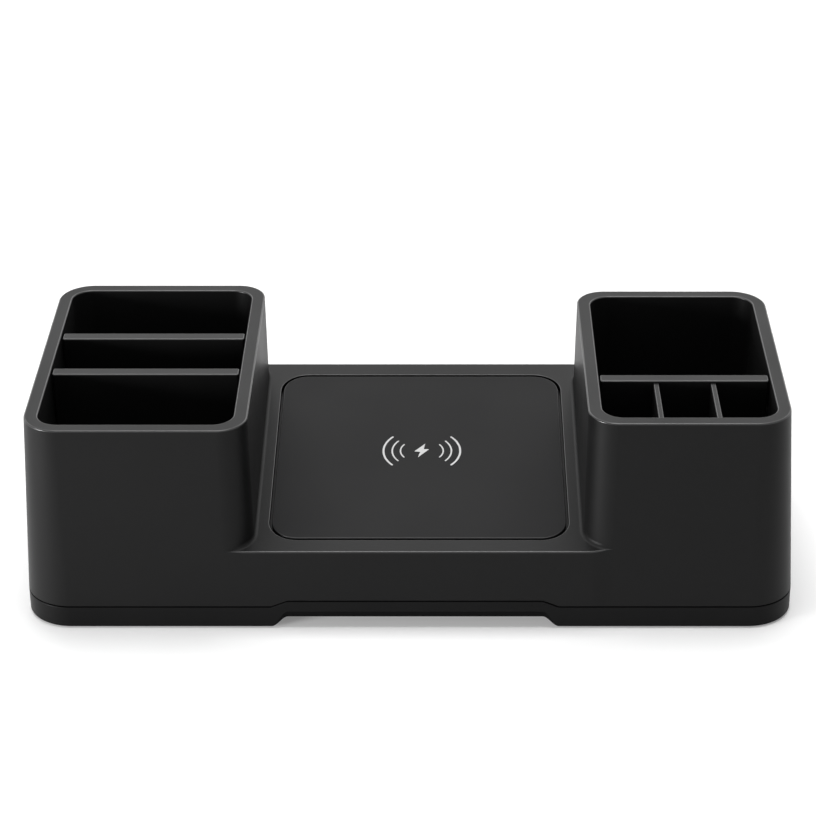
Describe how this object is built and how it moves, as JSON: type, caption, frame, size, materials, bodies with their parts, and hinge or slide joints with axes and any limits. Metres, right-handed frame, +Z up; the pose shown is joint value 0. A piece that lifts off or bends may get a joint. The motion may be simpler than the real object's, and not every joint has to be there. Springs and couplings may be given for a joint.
{
  "type": "charging station organizer",
  "caption": "Desk organizer: divided storage towers at both ends of an inclined wireless charging deck, with lift-out dividers, a base cover with a raised middle and rubber feet.",
  "frame": {"origin": "on the desk under the middle of the body", "axes": "+X to the right along the length, +Y to the back, +Z up"},
  "size_m": [0.2626, 0.1118, 0.0768],
  "materials": {
    "housing_plastic": "matte, fine grain",
    "base_plastic": "matte, fine grain",
    "divider_plastic": "matte, fine grain",
    "pad_plastic": "soft-touch matte",
    "adhesive": "matte foam tape",
    "carrier_plastic": "matte",
    "ferrite": "matte dark grey",
    "coil_wire": "clear enamel over copper",
    "lead_wire": "insulated wire",
    "circuit_board": "solder mask",
    "chip_package": "moulded package",
    "capacitor_ceramic": "satin",
    "capacitor_can": "satin",
    "inlet_steel": "nickel plated",
    "inlet_plastic": "moulded",
    "screw_steel": "zinc plated",
    "foot_rubber": "matte"
  },
  "bodies": {
    "organizer": {"housing": "housing_plastic", "base_cover": "base_plastic", "pad_cover": "pad_plastic", "pad_adhesive": "adhesive", "coil_carrier": "carrier_plastic", "ferrite_disc": "ferrite", "charging_coil": "coil_wire", "coil_leads": "lead_wire", "charging_board": "circuit_board", "controller_chip": "chip_package", "bridge_transistors": "chip_package", "resonant_capacitors": "capacitor_ceramic", "power_inductor": "ferrite", "input_capacitors": "capacitor_can", "usb_c_shell": "inlet_steel", "usb_c_tongue": "inlet_plastic", "base_screws": "screw_steel", "carrier_screws": "screw_steel", "board_screws": "screw_steel", "foot_front_left": "foot_rubber", "foot_front_right": "foot_rubber", "foot_back_left": "foot_rubber", "foot_back_right": "foot_rubber"},
    "left_rear_divider": {"left_rear_divider": "divider_plastic"},
    "left_front_divider": {"left_front_divider": "divider_plastic"},
    "right_pocket_insert": {"right_pocket_insert": "divider_plastic"}
  },
  "joints": [
    {"name": "left_rear_divider_lift", "type": "slide", "parent": "organizer", "child": "left_rear_divider", "axis": [0, 0, 1], "range_m": [0, 0.07]},
    {"name": "left_front_divider_lift", "type": "slide", "parent": "organizer", "child": "left_front_divider", "axis": [0, 0, 1], "range_m": [0, 0.07]},
    {"name": "right_pocket_insert_lift", "type": "slide", "parent": "organizer", "child": "right_pocket_insert", "axis": [0, 0, 1], "range_m": [0, 0.07]}
  ]
}
